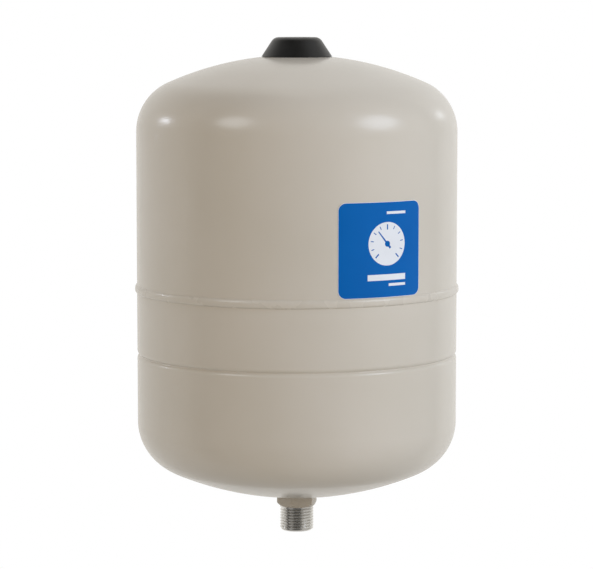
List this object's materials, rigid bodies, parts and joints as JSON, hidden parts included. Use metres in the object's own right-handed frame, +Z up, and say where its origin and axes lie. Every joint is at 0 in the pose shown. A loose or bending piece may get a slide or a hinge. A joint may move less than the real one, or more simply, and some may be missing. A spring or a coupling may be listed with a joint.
{
  "type": "well pressure tank",
  "caption": "Upright diaphragm pressure tank with domed ends, a girth weld, a rolled clamping groove, a threaded water connection below and a capped air valve on top.",
  "frame": {"origin": "centre of the end face of the threaded water connection, the lowest point of the tank", "axes": "+Z up along the tank's axis, towards the air valve's cap; -Y towards the front, with the label to the right of the front on the +X side"},
  "size_m": [0.2026, 0.2026, 0.31],
  "materials": {
    "cream_paint": "gloss",
    "stainless": "machined",
    "steel": "satin",
    "brass": "machined",
    "black_rubber": "matte",
    "liner_plastic": "satin",
    "seal_plastic": "satin",
    "black_plastic": "satin",
    "label_film": "gloss"
  },
  "bodies": {
    "tank": {"upper_shell": "cream_paint", "lower_shell": "cream_paint", "girth_weld": "cream_paint", "liner": "liner_plastic", "diaphragm": "black_rubber", "clench_ring": "steel", "connection_nipple": "stainless", "liner_gasket": "black_rubber", "liner_lock_nut": "stainless", "valve_bush": "cream_paint", "stem_washer": "black_rubber", "valve_stem": "brass", "core_barrel": "brass", "core_seal": "seal_plastic", "core_spring": "steel", "label": "label_film"},
    "cap_seal": {"cap_o_ring": "black_rubber"},
    "cap": {"valve_cap": "black_plastic"},
    "valve_pin": {"core_pin": "brass", "core_pin_seal": "black_rubber"}
  },
  "joints": [
    {"name": "cap_lift", "type": "slide", "parent": "tank", "child": "cap_seal", "axis": [0, 0, 1], "range_m": [0, 0.00278]},
    {"name": "cap_turn", "type": "hinge", "parent": "cap_seal", "child": "cap", "pos_m": [0, 0, 0.3], "axis": [0, 0, 1], "range_deg": [0, 1260]},
    {"name": "pin_press", "type": "slide", "parent": "tank", "child": "valve_pin", "axis": [0, 0, -1], "range_m": [0, 0.0012], "stiffness_N_per_m": 800, "springref_m": -0.002, "deforming": ["core_spring"]}
  ],
  "couplings": [
    {"joint": "cap_lift", "follows": "cap_turn", "m_per_rad": 0.00012633}
  ]
}
